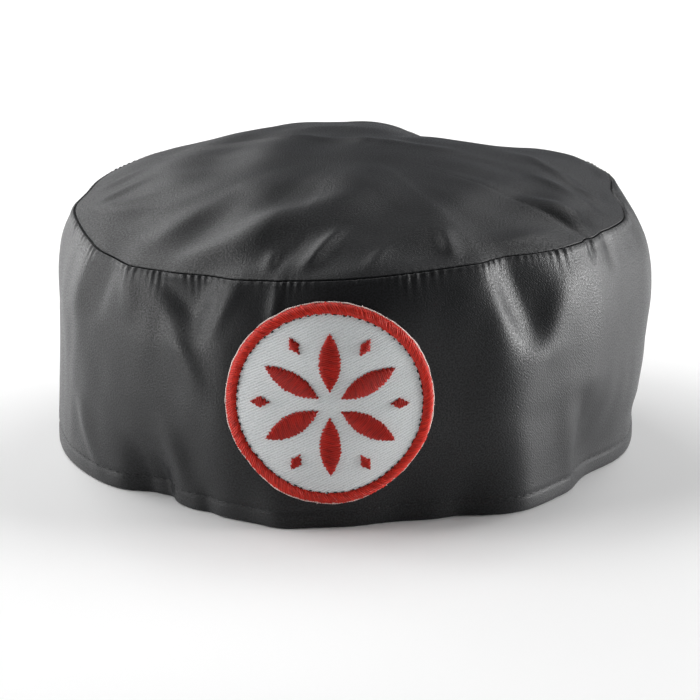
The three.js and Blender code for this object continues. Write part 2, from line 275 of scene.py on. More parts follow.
def make_piece(
    name, points, faces, materials, uv=None, face_material=None, stands_for=(),
    uv_period=None,
):
    """A mesh object from points in millimetres and one or more arrays of corner numbers."""
    faces = faces if isinstance(faces, list) else [faces]
    corners = np.concatenate([f.ravel() for f in faces]).astype(np.int32)
    sizes = np.concatenate([np.full(len(f), f.shape[1]) for f in faces]).astype(np.int32)
    mesh = bpy.data.meshes.new(name)
    mesh.vertices.add(len(points))
    mesh.vertices.foreach_set("co", (points * MM).astype(np.float32).ravel())
    mesh.loops.add(len(corners))
    mesh.loops.foreach_set("vertex_index", corners)
    mesh.polygons.add(len(sizes))
    starts = np.concatenate([[0], np.cumsum(sizes)[:-1]])
    mesh.polygons.foreach_set("loop_start", starts.astype(np.int32))
    if uv is not None:
        layer = mesh.uv_layers.new(name="cloth")
        corner_uv = uv[corners] if uv_period is None else unwrapped(uv, corners, uv_period)
        layer.data.foreach_set("uv", corner_uv.astype(np.float32).ravel())
    mesh.update(calc_edges=True)
    mesh.polygons.foreach_set("use_smooth", np.ones(len(sizes), bool))
    for material in materials:
        mesh.materials.append(material)
    if face_material is not None:
        mesh.polygons.foreach_set("material_index", face_material.astype(np.int32))
    mesh.validate()
    piece = bpy.data.objects.new(name, mesh)
    bpy.context.scene.collection.objects.link(piece)
    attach(piece, BODY)
    if stands_for:
        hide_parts(*stands_for)
    return piece


# The cap's form

def smooth(x):
    """The cubic step, 3x² - 2x³ between 0 and 1."""
    x = np.clip(x, 0, 1)
    return x * x * (3 - 2 * x)


def hump(offset, width):
    """A Gaussian, 1 at no offset and 1/e at the width."""
    return np.exp(-(offset / width) ** 2)


def fade(along):
    """A parabola, 1 at half way and 0 at both ends, to the fade's power."""
    return np.clip(1 - (2 * along - 1) ** 2, 0, 1) ** FADE_POWER


def turn(start, end):
    """The shortest turn from one bearing to another, in degrees."""
    return (end - start + 180) % 360 - 180


def outline(bearing, column):
    """A column of the outline at any bearing, on a Catmull-Rom curve through the table's values."""
    count = len(OUTLINE)
    place = np.mod(bearing, 360) * count / 360
    row = np.floor(place).astype(int)
    t = place - row
    a, b, c, d = (OUTLINE[(row + step + count) % count, column] for step in (-1, 0, 1, 2))
    square = 2 * a - 5 * b + 4 * c - d
    cube = 3 * b - a - 3 * c + d
    return 0.5 * (2 * b + (c - a) * t + square * t**2 + cube * t**3)


def seam_height(bearing):
    """The outline's height, with each wave of the seam as a Gaussian of the bearing."""
    waves = sum(rise * hump(turn(at, bearing), width) for at, width, rise in SEAM_WAVES)
    return outline(bearing, HEIGHT) + waves


def band_folds(bearing, v):
    """Each fold is a Gaussian ridge or valley across a line that leans from its foot to its head."""
    out = np.zeros(np.broadcast(bearing, v).shape)
    for foot, head, low, high, left, right, depth in BAND_FOLDS:
        along = (v - low) / (high - low)
        offset = turn(foot + (head - foot) * np.clip(along, 0, 1), bearing)
        out += depth * hump(offset, np.where(offset < 0, left, right)) * fade(along)
    return out


def polar(radius, bearing, z):
    """Points from their radius, bearing and height."""
    angle = np.radians(bearing)
    return np.stack(np.broadcast_arrays(radius * np.sin(angle), -radius * np.cos(angle), z), -1)


def band_form(bearing, v):
    """The band's outside: the radius runs smoothly from hem to belly, then along a power curve to the
    seam, and the folds are added to it."""
    bearing, v = np.broadcast_arrays(np.asarray(bearing, float), np.asarray(v, float))
    hem, belly, seam = (outline(bearing, column) for column in (HEM, BELLY_RADIUS, SEAM))
    below = hem + (belly - hem) * smooth(v / BELLY)
    above = belly + (seam - belly) * np.clip((v - BELLY) / (1 - BELLY), 0, 1) ** SHOULDER
    radius = np.where(v < BELLY, below, above) + band_folds(bearing, v)
    return polar(radius, bearing, seam_height(bearing) * v)


def crown_creases(x, y):
    """Each crease is a Gaussian ridge or valley across a straight line, and fades at its ends."""
    up = np.zeros(np.shape(x))
    for x0, y0, x1, y1, width, height in CROWN_CREASES:
        length = math.hypot(x1 - x0, y1 - y0)
        ux, uy = (x1 - x0) / length, (y1 - y0) / length
        along = ((x - x0) * ux + (y - y0) * uy) / length
        across = (y - y0) * ux - (x - x0) * uy
        up += height * hump(across, width) * fade(along)
    return up


def crown_form(bearing, q):
    """The crown's outside: a paraboloid over the seam line, which is at q = 1, with its creases."""
    bearing, q = np.broadcast_arrays(np.asarray(bearing, float), np.asarray(q, float))
    edge = band_form(bearing, 1.0)
    mean = OUTLINE[:, HEIGHT].mean()
    x, y = edge[..., 0] * q, edge[..., 1] * q
    z = mean + (edge[..., 2] - mean) * q**2 + DOME * (1 - q**2)
    return np.stack([x, y, z + crown_creases(x, y) * smooth((1 - q) / CREASE_EDGE)], -1)


def unit(vectors):
    """Each vector divided by its length."""
    return vectors / np.linalg.norm(vectors, axis=-1, keepdims=True)


STEP_BEARING, STEP_SHARE = 0.3, 0.003


def normals(form, u, v, sense=1):
    """Unit normals of a form, from the cross product of its central differences."""
    along_u = form(u + STEP_BEARING, v) - form(u - STEP_BEARING, v)
    along_v = form(u, v + STEP_SHARE) - form(u, v - STEP_SHARE)
    return unit(np.cross(along_u, along_v)) * sense


class Ripple:
    """Smooth noise: a sum of sine waves with seeded directions and phases, about one unit high."""

    def __init__(self, wavelength, count=14, squeeze=(1, 1, 1)):
        directions = unit(rng.normal(size=(count, 3)))
        lengths = wavelength * rng.uniform(0.7, 1.6, size=(count, 1))
        self.waves = directions / np.array(squeeze) * 2 * np.pi / lengths
        self.phases = rng.uniform(0, 2 * np.pi, count)
        self.count = count

    def __call__(self, points):
        return np.sin(points @ self.waves.T + self.phases).sum(-1) * math.sqrt(2 / self.count)


band_swell = Ripple(30, squeeze=(1, 1, 2.6))
band_crumple = Ripple(11, squeeze=(1, 1, 2.2))
crown_swell = Ripple(34)
crown_crumple = Ripple(13, squeeze=(2.0, 1, 1))
tuck_strength = Ripple(11)
tuck_wander = Ripple(15)


def seam_frame(bearing):
    """The corner between band and crown: its point, the direction across the seam from band to crown
    and the one into the cap along the corner's bisecting plane."""
    corner = band_form(bearing, 1.0)
    up = unit(corner - band_form(bearing, 1 - STEP_SHARE))
    inwards = unit(crown_form(bearing, 1 - STEP_SHARE) - corner)
    across = unit(up + inwards)
    around = band_form(bearing + STEP_BEARING, 1.0) - band_form(bearing - STEP_BEARING, 1.0)
    return corner, across, unit(np.cross(across, around))


def seam_allowance(bearing, side):
    """Two rings inside the seam, the cloth's raw edge and its lap. The side is -1 for the band and 1 for
    the crown."""
    corner, across, into = seam_frame(bearing)
    deep = corner + into * RAW_EDGE_DEPTH
    raw_edge = deep + side * across * SEAM_GAP / 2
    lap = deep + side * across * (SEAM_GAP / 2 + LAP)
    return np.concatenate([raw_edge, lap])


def tuck_wave(bearing):
    """The tucks along the seam as a cosine of the bearing with a wandering phase, from 0 in a tuck's
    bottom to its strength on the crest, and that strength."""
    ring = polar(SEAM_RADIUS, bearing, 0.0)
    count = round(2 * math.pi * SEAM_RADIUS / TUCK_PITCH)
    phase = np.radians(bearing) * count + TUCK_WANDER * tuck_wander(ring)
    strength = TUCK_STRENGTH["mean"] + TUCK_STRENGTH["spread"] * tuck_strength(ring)
    strength = np.clip(strength, TUCK_STRENGTH["least"], TUCK_STRENGTH["most"])
    return (0.5 + 0.5 * np.cos(phase)) * strength, strength


def tuck_height(crest, strength, from_seam, height, reach):
    """The tucks start a little off the seam and fade exponentially away from it."""
    wave = height * (crest - 0.5 * strength)
    return wave * np.exp(-from_seam / reach) * smooth(from_seam / TUCK_START)


def groove_depth(crest, from_seam, width):
    """The seam's groove: a Gaussian of the distance from the seam."""
    return SEAM_DEPTH * (GROOVE_IN_TUCK - GROOVE_LOSS_ON_CREST * crest) * hump(from_seam, width)


def relief(name, place):
    """A narrow ridge or groove: a Gaussian of the distance from its line."""
    height, line, width = RELIEF[name]
    return height * hump(place - line, width)


def band_surface(bearing, v):
    """The band's outside: its form is moved along its normals by the noise, the tucks and the relief,
    and near the seam into the groove and apart from the crown."""
    base = band_form(bearing, v)
    out = normals(band_form, bearing, v)
    z = base[..., 2]
    from_seam = (1 - v) * seam_height(bearing)
    crest, strength = tuck_wave(bearing)
    noise = BAND_NOISE["swell"] * band_swell(base) + BAND_NOISE["crumple"] * band_crumple(base)
    noise = noise * smooth(from_seam / BAND_NOISE["from_seam"]) * smooth(z / BAND_NOISE["from_hem"])
    reach = BAND_TUCK["reach"] + BAND_TUCK["reach_by_strength"] * strength
    tucks = tuck_height(crest, strength, from_seam, BAND_TUCK["height"], reach)
    roll = relief("roll_below_seam", from_seam)
    stitch_line = relief("hem_stitch_line", z) + relief("hem_fullness", z)
    back_join = relief("back_join", turn(180, bearing)) * smooth(v / BACK_JOIN_START)
    points = base + out * (noise + tucks + roll + stitch_line + back_join)[..., None]
    across, into = seam_frame(bearing)[1:]
    groove = groove_depth(crest, from_seam, BAND_GROOVE_WIDTH)
    lip = relief("lip_below_seam", from_seam) - SEAM_GAP / 2 * hump(from_seam, GAP_WIDTH)
    return points + into * groove[..., None] + across * lip[..., None]


def crown_surface(bearing, q):
    """The crown's outside: its form is moved along its normals by the noise and the tucks, down towards
    the seam, and at it into the groove and apart from the band. The normals next to the middle serve
    for the middle too, where a bearing has no meaning."""
    base = crown_form(bearing, q)
    out = normals(crown_form, bearing, np.maximum(q, NEAR_MIDDLE), sense=-1)
    edge = band_form(bearing, 1.0)
    from_seam = (1 - q) * np.hypot(edge[..., 0], edge[..., 1])
    crest, strength = tuck_wave(bearing)
    noise = CROWN_NOISE["swell"] * crown_swell(base) + CROWN_NOISE["crumple"] * crown_crumple(base)
    noise = noise * smooth(from_seam / CROWN_NOISE["from_seam"])
    tucks = tuck_height(crest, strength, from_seam, CROWN_TUCK["height"], CROWN_TUCK["reach"])
    sunk = CROWN_SINK["depth"] * np.exp(-from_seam / CROWN_SINK["reach"])
    points = base + out * (noise + tucks - sunk)[..., None]
    across, into = seam_frame(bearing)[1:]
    groove = groove_depth(crest, from_seam, CROWN_GROOVE_WIDTH)
    gap = SEAM_GAP / 2 * hump(from_seam, GAP_WIDTH)
    return points + into * groove[..., None] + across * gap[..., None]


def make_band(satin, satin_back):
    """The band's closed section, swept round the cap: outside from hem to seam, the seam's raw edge,
    inside down to the hem's turned-up edge, and a half-round fold at the bottom."""
    bearing = np.arange(COLUMNS)[None, :] * 360 / COLUMNS
    fold_radius = HEM_THICKNESS / 2
    low = np.linspace(fold_radius, CLOSE_ROWS, HEM_ROW_COUNT)[:-1]
    middle = np.linspace(CLOSE_ROWS, ROW_HEIGHT - CLOSE_ROWS, MIDDLE_ROW_COUNT)
    high = ROW_HEIGHT - np.array(ROWS_BELOW_SEAM)
    rows = (np.concatenate([low, middle, high]) / ROW_HEIGHT)[:, None]
    outside = band_surface(bearing, rows)
    allowance = seam_allowance(bearing, -1)
    inside_rows = np.array(BAND_INSIDE_ROWS)[:, None]
    inner = band_form(bearing, inside_rows) - normals(band_form, bearing, inside_rows) * CLOTH
    hem_rows = np.array([*HEM_INSIDE_ROWS, fold_radius / ROW_HEIGHT])[:, None]
    inset = np.array([CLOTH + HEM_EDGE_STEP, *[HEM_THICKNESS] * 3])[:, None, None]
    turned = band_form(bearing, hem_rows) - normals(band_form, bearing, hem_rows) * inset
    centre = (outside[0] + turned[-1]) / 2
    half = (outside[0] - turned[-1]) / 2
    angles = np.radians(np.array([150, 120, 90, 60, 30]))[:, None, None]
    drop = np.array([0, 0, fold_radius])
    fold = centre + half * np.cos(angles) - drop * np.sin(angles)
    points = np.concatenate([outside, allowance, inner, turned, fold])
    points[..., 2] = np.maximum(points[..., 2], 0)
    count = len(points)
    faces = grid_faces(count, COLUMNS, wrap_rows=True, wrap_columns=True)
    face_row = faces[:, 0] // COLUMNS
    backed = (face_row >= len(outside)) & (face_row < len(outside) + len(allowance) + len(inner))
    girth = 2 * math.pi * UV_RADIUS
    around = np.broadcast_to(bearing * girth / 360, points.shape[:2])
    steps = np.linalg.norm(np.diff(points[:, 0], axis=0, append=points[:1, 0]), axis=-1)
    section = np.concatenate([[0], np.cumsum(steps)])
    uv = np.stack([around, np.broadcast_to(section[:-1, None], points.shape[:2])], -1)
    return make_piece(
        "band_satin", points.reshape(-1, 3), faces, [satin, satin_back], uv.reshape(-1, 2),
        backed, ["side_band"], (girth, section[-1]),
    )


def disc_grid(count):
    """Bearing and radius share of a square grid laid on a disc, each square ring becoming a circle."""
    line = np.linspace(-1, 1, count + 1)
    a, b = np.meshgrid(line, line, indexing="ij")
    wide = np.abs(a) > np.abs(b)
    q = np.where(wide, a, b)
    safe = np.where(q == 0, 1, q)
    angle = np.where(wide, 45 * b / safe, 90 - 45 * a / safe)
    return np.where(q < 0, angle + 180, angle), np.abs(q)


def make_crown(satin, satin_back):
    """The crown's outside on a square grid laid on a disc, its raw edge in the seam, and its inside on
    rings that end in the middle."""
    grid = COLUMNS // 4
    bearing, q = disc_grid(grid)
    q = q + EDGE_CROWDING * np.sin(np.pi * q) * q
    top = crown_surface(bearing, q).reshape(-1, 3)
    top_faces = grid_faces(grid + 1, grid + 1)
    line = np.arange(grid)
    rim = np.concatenate([
        grid * (grid + 1) + line,
        (grid - line) * (grid + 1) + grid,
        grid - line,
        line * (grid + 1),
    ])
    rim_bearing = np.mod(bearing.reshape(-1)[rim], 360)
    order = np.argsort(rim_bearing)
    rim, rim_bearing = rim[order], rim_bearing[order][None, :]
    shares = np.array(CROWN_INSIDE_RINGS)[:, None]
    under = crown_form(rim_bearing, shares) - normals(crown_form, rim_bearing, shares, sense=-1) * CLOTH
    middle = crown_form(0.0, 0.0) - np.array([0, 0, CLOTH])
    rings = np.concatenate([seam_allowance(rim_bearing, 1), under])
    first = len(top)
    ring_faces = grid_faces(len(rings), COLUMNS, wrap_columns=True) + first
    column = np.arange(COLUMNS)
    after = (column + 1) % COLUMNS
    joint = np.stack([rim[column], rim[after], first + after, first + column], -1)
    pole = first + len(rings) * COLUMNS
    inner_ring = pole - COLUMNS
    fan = np.stack([inner_ring + column, inner_ring + after, np.full(COLUMNS, pole)], -1)
    points = np.concatenate([top, rings.reshape(-1, 3), middle.reshape(1, 3)])
    faces = [top_faces, joint[:, ::-1], ring_faces[:, ::-1], fan[:, ::-1]]
    backed = np.concatenate([np.full(len(f), i > 1) for i, f in enumerate(faces)])
    return make_piece(
        "crown_satin", points, faces, [satin, satin_back], points[:, :2], backed,
        ["crown_panel"],
    )


# The badge

def badge_point(across, up, lift):
    """A point over the badge's place, lifted off the band along the band's normal. The badge is laid out
    on an upright cylinder a little flatter than the band's front, drawn in a little across by its sewing,
    and each point takes its bearing from there. The upper half leans back with the band, so its points
    lie lower than on a flat disc, by the square of their height above the badge's middle."""
    bend = (across * BADGE_SQUEEZE + BADGE_SHIFT) / DRAPE_RADIUS
    x = DRAPE_RADIUS * np.sin(bend)
    y = DRAPE_RADIUS - outline(0.0, BELLY_RADIUS) - DRAPE_RADIUS * np.cos(bend)
    bearing = np.degrees(np.arctan2(x, -y))
    v = (BADGE_HEIGHT + up - BADGE_LEAN * np.maximum(up, 0) ** 2) / seam_height(bearing)
    lift = np.asarray(lift, float)
    return band_form(bearing, v) + normals(band_form, bearing, v) * lift[..., None]


# The twill's line leans up to the right. Its ribs stand on a foot below the ground's face. The outermost
# chords lie just inside the disc's edge, so that they have a length.
TWILL_ANGLE = 27.0
TWILL_PITCH = 0.78
TWILL_RIB = 0.18
RIB_FOOT = 0.15
RIB_ROUNDNESS = 0.8
RIB_STEPS = 6
CHORD_POINTS = 61
GROUND_PUFF = 0.25
JUST_INSIDE = 0.9999


def make_ground(twill):
    """The twill disc: chords parallel to the twill line, with a rounded rib every pitch across them, on a
    puff that falls off with the fourth power of the radius. Its back keeps one distance to the band."""
    across_count = int(2 * GROUND_RADIUS / TWILL_PITCH * RIB_STEPS)
    w = np.linspace(-GROUND_RADIUS, GROUND_RADIUS, across_count)[:, None] * JUST_INSIDE
    t = np.linspace(-1, 1, CHORD_POINTS)[None, :]
    along = t * np.sqrt(GROUND_RADIUS**2 - w**2)
    turned = math.radians(TWILL_ANGLE)
    x = along * math.cos(turned) - w * math.sin(turned)
    h = along * math.sin(turned) + w * math.cos(turned)
    rib = np.abs(np.sin(np.pi * w / TWILL_PITCH)) ** RIB_ROUNDNESS
    puff = GROUND_PUFF * (1 - (np.hypot(x, h) / GROUND_RADIUS) ** 4)
    top = badge_point(x, h, GROUND_FACE - RIB_FOOT + puff + TWILL_RIB * rib)
    back = badge_point(x, h, np.full(x.shape, GROUND_UNDERSIDE))
    rows, columns = x.shape
    top_faces = grid_faces(rows, columns)
    low_faces = (grid_faces(rows, columns) + rows * columns)[:, ::-1]
    loop = np.concatenate([
        np.arange(columns - 1),
        np.arange(rows - 1) * columns + columns - 1,
        rows * columns - 1 - np.arange(columns - 1),
        (rows - 1 - np.arange(rows - 1)) * columns,
    ])
    after = np.roll(loop, -1)
    side = np.stack([loop, loop + rows * columns, after + rows * columns, after], -1)
    points = np.concatenate([top.reshape(-1, 3), back.reshape(-1, 3)])
    flat = np.stack([along + 0 * w, w + 0 * along], -1).reshape(-1, 2)
    return make_piece(
        "badge_twill", points, [top_faces, low_faces, side], [twill], np.concatenate([flat, flat]),
        None, ["badge_ground"],
    )


# The real threads lie about 0.4 mm apart. They are drawn 0.73 mm apart on the border and 0.6 mm apart on
# the motifs, so that they show.
MERROW_THREADS = 264
STITCH_PITCH = 0.6
THREAD_STEPS = 6

# The border's section runs from under its outer side over its crest to under its inner side, in degrees.
# Between two threads it is narrower by the waist and lower by the dip, and each thread adds its bulge and
# its ridge. Reach and rise are how unevenly the threads do so, and the slant is in threads. Below its
# widest line the section falls by a share of what it rises above it.
BORDER_SECTION = (-28, 208)
MERROW = {
    "waist": 0.2, "dip": 0.08, "bulge": 0.22, "ridge": 0.24, "reach": 0.12, "rise": 0.07,
    "slant": 1.6, "fall": 0.9,
}

# Slow unevenness of the border and of the thread at its edge
UNEVEN = {
    # name: height, times round the badge and phase of each sine wave
    "border_rise": [(0.1, 5, 1), (0.06, 11, 0)],
    "edge_knot": [(0.05, 9, 2)],
    "edge_wander": [(0.06, 23, 0), (0.05, 41, 1)],
}


def uneven(name, angle):
    """The sum of a name's sine waves round the badge."""
    return sum(height * np.sin(angle * times + phase) for height, times, phase in UNEVEN[name])


def make_border(red):
    """The merrowed border: an ellipse with its underside cut flat, swept round the badge. Each thread
    slants across it and rounds it by the absolute value of a sine."""
    columns = MERROW_THREADS * THREAD_STEPS
    place = np.arange(columns)[None, :] / THREAD_STEPS
    section = np.radians(np.linspace(*BORDER_SECTION, 15))[:, None]
    slant = MERROW["slant"] * np.cos(section)
    angle = 2 * np.pi * (place + slant) / MERROW_THREADS
    thread = np.floor(place).astype(int) % MERROW_THREADS
    round_thread = np.abs(np.sin(np.pi * (place + 0.5 / THREAD_STEPS)))
    reach = rng.normal(0, MERROW["reach"], MERROW_THREADS)[thread]
    height = rng.normal(0, MERROW["rise"], MERROW_THREADS)[thread]
    half_width = BORDER_HALF_WIDTH - MERROW["waist"] + MERROW["bulge"] * round_thread + reach + 0 * section
    rise = BORDER_CREST - BORDER_SIDE - MERROW["dip"] + MERROW["ridge"] * round_thread
    rise = rise + height + uneven("border_rise", angle)
    radius = BORDER_RADIUS + half_width * np.cos(section)
    lift = BORDER_SIDE + np.where(section > 0, rise, rise * MERROW["fall"]) * np.sin(section)
    lift = np.maximum(lift, BORDER_UNDERSIDE)
    points = badge_point(radius * np.cos(angle), radius * np.sin(angle), lift)
    faces = grid_faces(len(section), columns, wrap_rows=True, wrap_columns=True)[:, ::-1]
    uv = np.stack(np.broadcast_arrays(place, section), -1).reshape(-1, 2)
    return make_piece(
        "badge_merrow", points.reshape(-1, 3), faces, [red], uv, None, ["badge_border"],
        (MERROW_THREADS, 2 * math.pi),
    )


# A motif's threads start at their foot above the band. They rise a little everywhere, more where the motif
# is wide, and by the ridge in the middle of each thread. They end a little short of the drawn edge or past
# it, by their stagger in turn and by their spread at random. Between threads the motif is narrower by the
# share named waist.
MOTIF_SECTION = (-12, 192)
STITCHES = {
    "foot": 1.45, "rise": 0.16, "fullness": 0.45, "ridge": 0.3, "full_width": 1.6, "narrowest": 0.12,
    "stagger": 0.13, "spread": 0.1, "slant": 0.25, "waist": 0.1, "roundness": 0.7,
}


def make_motif(name, motif, index, half_width, red, node):
    """A raised satin-stitch motif: threads lie side by side across its length, each a low arch of half a
    turn, rounded by the absolute value of a sine."""
    threads = round(motif["length"] / STITCH_PITCH)
    columns = threads * THREAD_STEPS + 1
    place = np.linspace(0, threads, columns)[None, :]
    x = (place / threads - 0.5) * motif["length"]
    section = np.radians(np.linspace(*MOTIF_SECTION, 13))[:, None]
    thread = np.minimum(place.astype(int), threads - 1)
    round_thread = np.abs(np.sin(np.pi * place)) ** STITCHES["roundness"]
    in_turn = STITCHES["stagger"] * (-1.0) ** np.arange(threads)
    reach = rng.normal(0, STITCHES["spread"], (2, threads)) + in_turn
    side = np.where(np.cos(section) > 0, reach[0][thread], reach[1][thread])
    waist = 1 - STITCHES["waist"] + STITCHES["waist"] * round_thread
    half = np.maximum(half_width(x, motif) + side, STITCHES["narrowest"]) * waist
    fullness = STITCHES["fullness"] * smooth(half / STITCHES["full_width"])
    arch = STITCHES["rise"] + fullness + STITCHES["ridge"] * round_thread
    lift = STITCHES["foot"] + arch * np.sin(section)
    y = half * np.cos(section)
    angle = math.radians(motif["first"] + 360 * index / motif["count"])
    radial = motif["distance"] + x + STITCHES["slant"] * y * np.sin(section)
    across = radial * math.cos(angle) - y * math.sin(angle)
    up = radial * math.sin(angle) + y * math.cos(angle)
    points = badge_point(across, up, lift)
    rows = len(section)
    faces = grid_faces(rows, columns, wrap_rows=True)
    ends = [np.arange(rows)[None, :] * columns, (np.arange(rows)[None, ::-1]) * columns + columns - 1]
    uv = np.stack(np.broadcast_arrays(place, section), -1).reshape(-1, 2)
    return make_piece(
        name, points.reshape(-1, 3), [faces, *ends], [red], uv, None, [node],
    )


def petal_half_width(x, motif):
    """A lens between two parabolas."""
    return motif["width"] / 2 * (1 - (2 * x / motif["length"]) ** 2)


def lozenge_half_width(x, motif):
    """Straight sides that meet at both ends."""
    return motif["width"] / 2 * (1 - np.abs(2 * x / motif["length"]))


# Shares of its radius that a thread keeps at its end and at the point next to it
TAPER_END, TAPER_NEXT = 0.35, 0.9


def thread_tubes(paths, radius, sides=7):
    """Short threads as one mesh. Each row of paths is a thread's middle line, and the thread is a tube
    round it that narrows at both ends."""
    count, steps = paths.shape[:2]
    along = unit(np.gradient(paths, axis=1))
    upright = np.abs(along[..., 2:]) > 0.9
    side = unit(np.cross(along, np.where(upright, [1.0, 0, 0], [0.0, 0, 1])))
    other = np.cross(along, side)
    ends = np.minimum(np.arange(steps), np.arange(steps)[::-1])
    taper = np.where(ends == 0, TAPER_END, np.where(ends == 1, TAPER_NEXT, 1.0)) * radius
    around = np.linspace(0, 2 * np.pi, sides, endpoint=False)
    ring = side[:, :, None] * np.cos(around)[:, None] + other[:, :, None] * np.sin(around)[:, None]
    points = paths[:, :, None] + ring * taper[:, None, None]
    one = grid_faces(steps, sides, wrap_columns=True)[:, ::-1]
    caps = [np.arange(sides)[None, :], np.arange(sides)[None, ::-1] + (steps - 1) * sides]
    starts = (np.arange(count) * steps * sides)[:, None, None]
    faces = [(f[None] + starts).reshape(-1, f.shape[1]) for f in [one, *caps]]
    return points.reshape(-1, 3), faces


# Shares of a stitch's length at which its thread has points
STITCH_STEPS = np.array([0, 0.12, 0.5, 0.88, 1.0])

# Uneven is a share of the stitches' pitch, and the two lengths are the shortest and the longest
SEWING = {
    "count": 70, "uneven": 0.22, "inset": 0.1, "wander": 0.12, "lift": 1.36, "arch": 0.1,
    "radius": 0.2,
}
SEWING_LENGTHS = (0.55, 1.15)


def make_sewing_stitches(black):
    """The black stitches that hold the badge, peeping out along the border's inner edge. Each is an arc
    round the badge, arched by half a sine."""
    count = SEWING["count"]
    angle = 2 * np.pi * (np.arange(count) + rng.uniform(-SEWING["uneven"], SEWING["uneven"], count)) / count
    inner_edge = BORDER_RADIUS - BORDER_HALF_WIDTH - SEWING["inset"]
    radius = inner_edge + rng.uniform(-SEWING["wander"], SEWING["wander"], count)
    length = rng.uniform(*SEWING_LENGTHS, count)
    turned = angle[:, None] + (STITCH_STEPS - 0.5) * (length / radius)[:, None]
    lift = SEWING["lift"] + SEWING["arch"] * np.sin(np.pi * STITCH_STEPS) + 0 * turned
    paths = badge_point(radius[:, None] * np.cos(turned), radius[:, None] * np.sin(turned), lift)
    points, faces = thread_tubes(paths, SEWING["radius"])
    return make_piece("badge_sewing", points, faces, [black])


EDGE_THREAD = {"steps": 4, "radius": 0.26, "knot": 0.07, "outside": 0.04, "lift": 0.75, "upright": 1.1}


def make_edge_thread(white):
    """The pale underside of the merrowed edge: a thin ring outside the border, thicker at each thread's
    knot by the absolute value of a sine."""
    count = MERROW_THREADS * EDGE_THREAD["steps"]
    place = np.arange(count)[None, :] / EDGE_THREAD["steps"]
    angle = 2 * np.pi * place / MERROW_THREADS
    section = np.radians(np.linspace(0, 360, 9)[:-1])[:, None]
    knot = EDGE_THREAD["radius"] + EDGE_THREAD["knot"] * np.abs(np.sin(np.pi * place))
    knot = knot + uneven("edge_knot", angle) + 0 * section
    edge = BORDER_RADIUS + BORDER_HALF_WIDTH + EDGE_THREAD["outside"] + uneven("edge_wander", angle)
    radius = edge + knot * np.cos(section)
    lift = EDGE_THREAD["lift"] + EDGE_THREAD["upright"] * knot * np.sin(section)
    points = badge_point(radius * np.cos(angle), radius * np.sin(angle), lift)
    faces = grid_faces(len(section), count, wrap_rows=True, wrap_columns=True)[:, ::-1]
    return make_piece("badge_edge_thread", points.reshape(-1, 3), faces, [white])


# The longer tail is given by its angle round the badge, its length and its lean
LOOSE_ENDS = {
    "count": 26, "lean": 1.2, "droop": 0.3, "lift": 0.8, "wave": 0.35, "turn": 2.2, "inset": 0.1,
    "radius": 0.11,
}
LOOSE_LENGTHS = (0.5, 1.3)
LONG_TAIL = (math.radians(176), 4.4, 3.6)


def make_loose_ends(white):
    """Cut ends of thread that stand off the badge's edge, and one longer tail on its left. Each runs out
    on a slanting line, droops by the fourth power of the share along it, and lifts and falls by a sine."""
    count = LOOSE_ENDS["count"]
    start = rng.uniform(0, 2 * np.pi, count)
    length = rng.uniform(*LOOSE_LENGTHS, count)
    lean = rng.uniform(-LOOSE_ENDS["lean"], LOOSE_ENDS["lean"], count)
    start[0], length[0], lean[0] = LONG_TAIL
    t = np.linspace(0, 1, 7)
    reach = length[:, None] * t / np.hypot(1, lean)[:, None]
    edge = BORDER_RADIUS + BORDER_HALF_WIDTH - LOOSE_ENDS["inset"]
    radius = edge + reach - LOOSE_ENDS["droop"] * (reach * t) ** 2
    angle = start[:, None] + lean[:, None] * reach / radius
    lift = LOOSE_ENDS["lift"] + LOOSE_ENDS["wave"] * np.sin(LOOSE_ENDS["turn"] * t + start[:, None])
    paths = badge_point(radius * np.cos(angle), radius * np.sin(angle), lift)
    points, faces = thread_tubes(paths, LOOSE_ENDS["radius"], sides=5)
    return make_piece("badge_loose_ends", points, faces, [white])


# The number of stitches comes from the hem's mean radius. Share is a stitch's length as a share of the
# pitch. Its middle stands proud of the cloth and its ends are sunk in it.
HEM_RADIUS = 89.0
TOPSTITCH = {"share": 0.8, "proud": 0.04, "sunk": 0.25, "radius": 0.19}


def make_hem_stitches(black):
    """The hem's topstitching: a row of short threads along the band's surface, whose ends dive into it
    by a cubic curve."""
    count = round(2 * math.pi * HEM_RADIUS / HEM_STITCH_PITCH)
    bearing = 360 * np.arange(count) / count
    v = HEM_STITCH_HEIGHT / seam_height(bearing)
    turned = bearing[:, None] + (STITCH_STEPS - 0.5) * 360 / count * TOPSTITCH["share"]
    share = v[:, None] + 0 * turned
    lift = TOPSTITCH["proud"] - TOPSTITCH["sunk"] * np.abs(2 * STITCH_STEPS - 1) ** 3 + 0 * turned
    paths = band_surface(turned, share) + normals(band_form, turned, share) * lift[..., None]
    points, faces = thread_tubes(paths, TOPSTITCH["radius"])
    return make_piece("hem_topstitch", points, faces, [black])


# Materials

def srgb(code):
    """A hex colour as linear red, green, blue and alpha."""
    parts = np.array([int(code[i:i + 2], 16) for i in (1, 3, 5)]) / 255
    linear = np.where(parts <= 0.04045, parts / 12.92, ((parts + 0.055) / 1.055) ** 2.4)
    return (*linear.tolist(), 1.0)


def node(tree, kind, links=None, **settings):
    """Adds a shader node. Settings are inputs by name with _ for a space, or properties of the node."""
    made = tree.nodes.new(kind)
    for key, value in settings.items():
        socket = key.replace("_", " ")
        if socket in made.inputs:
            made.inputs[socket].default_value = value
        else:
            setattr(made, key, value)
    for key, source in (links or {}).items():
        tree.links.new(source, made.inputs[key])
    return made


def new_material(name):
    """A material with its node tree and its Principled shader."""
    material = bpy.data.materials.new(name)
    material.use_nodes = True
    tree = material.node_tree
    shader = tree.nodes["Principled BSDF"]
    return material, tree, shader


